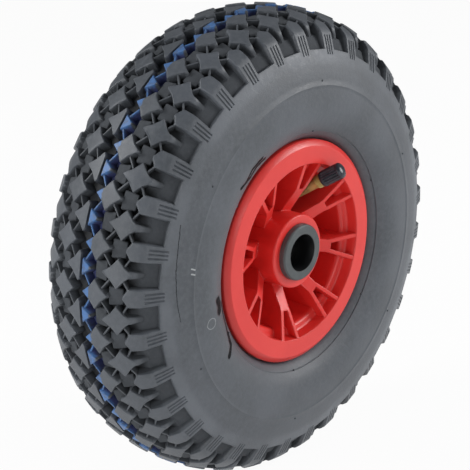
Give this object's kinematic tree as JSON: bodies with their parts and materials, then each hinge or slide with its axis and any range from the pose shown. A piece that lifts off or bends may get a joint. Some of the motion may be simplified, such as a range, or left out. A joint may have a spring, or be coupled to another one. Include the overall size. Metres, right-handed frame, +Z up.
{
  "type": "wheel assembly",
  "caption": "Pneumatic hand-truck wheel: block-tread tyre and tube on a spoked moulded rim, with a bent valve and a roller bearing for a plain axle.",
  "frame": {"origin": "the wheel's centre, on the axle's axis and midway between the two hub faces", "axes": "+Y along the axle, with the valve's side facing -Y; +Z up; +X to the right of someone who looks at the valve's side"},
  "size_m": [0.26, 0.0904, 0.2597],
  "materials": {
    "tyre": "matt",
    "tube_rubber": "matt",
    "red_plastic": "satin",
    "grey_plastic": "matt",
    "cage_plastic": "matt",
    "cap_plastic": "satin",
    "steel": "ground",
    "spring_steel": "drawn",
    "brass": "turned",
    "seal_rubber": "matt"
  },
  "bodies": {
    "wheel": {"tyre": "tyre", "inner_tube": "tube_rubber", "rim": "red_plastic", "bearing_sleeve": "steel", "end_bush_front": "grey_plastic", "end_bush_back": "grey_plastic", "valve_stem": "brass", "valve_core_body": "brass", "valve_core_gasket": "seal_rubber", "valve_spring": "spring_steel"},
    "cage": {"roller_cage": "cage_plastic"},
    "roller_1": {"roller_1": "steel"},
    "roller_2": {"roller_2": "steel"},
    "roller_3": {"roller_3": "steel"},
    "roller_4": {"roller_4": "steel"},
    "roller_5": {"roller_5": "steel"},
    "roller_6": {"roller_6": "steel"},
    "roller_7": {"roller_7": "steel"},
    "roller_8": {"roller_8": "steel"},
    "pin": {"valve_pin": "brass", "valve_pin_seal": "seal_rubber"},
    "cap_disc": {"valve_cap_seal": "seal_rubber"},
    "cap": {"valve_cap": "cap_plastic"}
  },
  "joints": [
    {"name": "cage_spin", "type": "hinge", "parent": "wheel", "child": "cage", "pos_m": [0, 0, 0], "axis": [0, 1, 0], "continuous": true},
    {"name": "roller_1_spin", "type": "hinge", "parent": "cage", "child": "roller_1", "pos_m": [0.0123, 0, 0], "axis": [0, 1, 0], "continuous": true},
    {"name": "roller_2_spin", "type": "hinge", "parent": "cage", "child": "roller_2", "pos_m": [0.0087, 0, 0.0087], "axis": [0, 1, 0], "continuous": true},
    {"name": "roller_3_spin", "type": "hinge", "parent": "cage", "child": "roller_3", "pos_m": [0, 0, 0.0123], "axis": [0, 1, 0], "continuous": true},
    {"name": "roller_4_spin", "type": "hinge", "parent": "cage", "child": "roller_4", "pos_m": [-0.0087, 0, 0.0087], "axis": [0, 1, 0], "continuous": true},
    {"name": "roller_5_spin", "type": "hinge", "parent": "cage", "child": "roller_5", "pos_m": [-0.0123, 0, 0], "axis": [0, 1, 0], "continuous": true},
    {"name": "roller_6_spin", "type": "hinge", "parent": "cage", "child": "roller_6", "pos_m": [-0.0087, 0, -0.0087], "axis": [0, 1, 0], "continuous": true},
    {"name": "roller_7_spin", "type": "hinge", "parent": "cage", "child": "roller_7", "pos_m": [0, 0, -0.0123], "axis": [0, 1, 0], "continuous": true},
    {"name": "roller_8_spin", "type": "hinge", "parent": "cage", "child": "roller_8", "pos_m": [0.0087, 0, -0.0087], "axis": [0, 1, 0], "continuous": true},
    {"name": "pin_press", "type": "slide", "parent": "wheel", "child": "pin", "axis": [-0.2773, 0.807, -0.5215], "range_m": [0, 0.0015], "stiffness_N_per_m": 800, "springref_m": -0.001, "deforming": ["valve_spring"]},
    {"name": "cap_lift", "type": "slide", "parent": "wheel", "child": "cap_disc", "axis": [0.2773, -0.807, 0.5215], "range_m": [0, 0.00714]},
    {"name": "cap_turn", "type": "hinge", "parent": "cap_disc", "child": "cap", "pos_m": [0.02255, -0.04431, 0.04242], "axis": [0.2773, -0.807, 0.5215], "range_deg": [0, 3240]}
  ],
  "couplings": [
    {"joint": "roller_1_spin", "follows": "cage_spin", "ratio": -6.6136},
    {"joint": "roller_2_spin", "follows": "cage_spin", "ratio": -6.6136},
    {"joint": "roller_3_spin", "follows": "cage_spin", "ratio": -6.6136},
    {"joint": "roller_4_spin", "follows": "cage_spin", "ratio": -6.6136},
    {"joint": "roller_5_spin", "follows": "cage_spin", "ratio": -6.6136},
    {"joint": "roller_6_spin", "follows": "cage_spin", "ratio": -6.6136},
    {"joint": "roller_7_spin", "follows": "cage_spin", "ratio": -6.6136},
    {"joint": "roller_8_spin", "follows": "cage_spin", "ratio": -6.6136},
    {"joint": "cap_turn", "follows": "cap_lift", "rad_per_m": 7915.3}
  ]
}
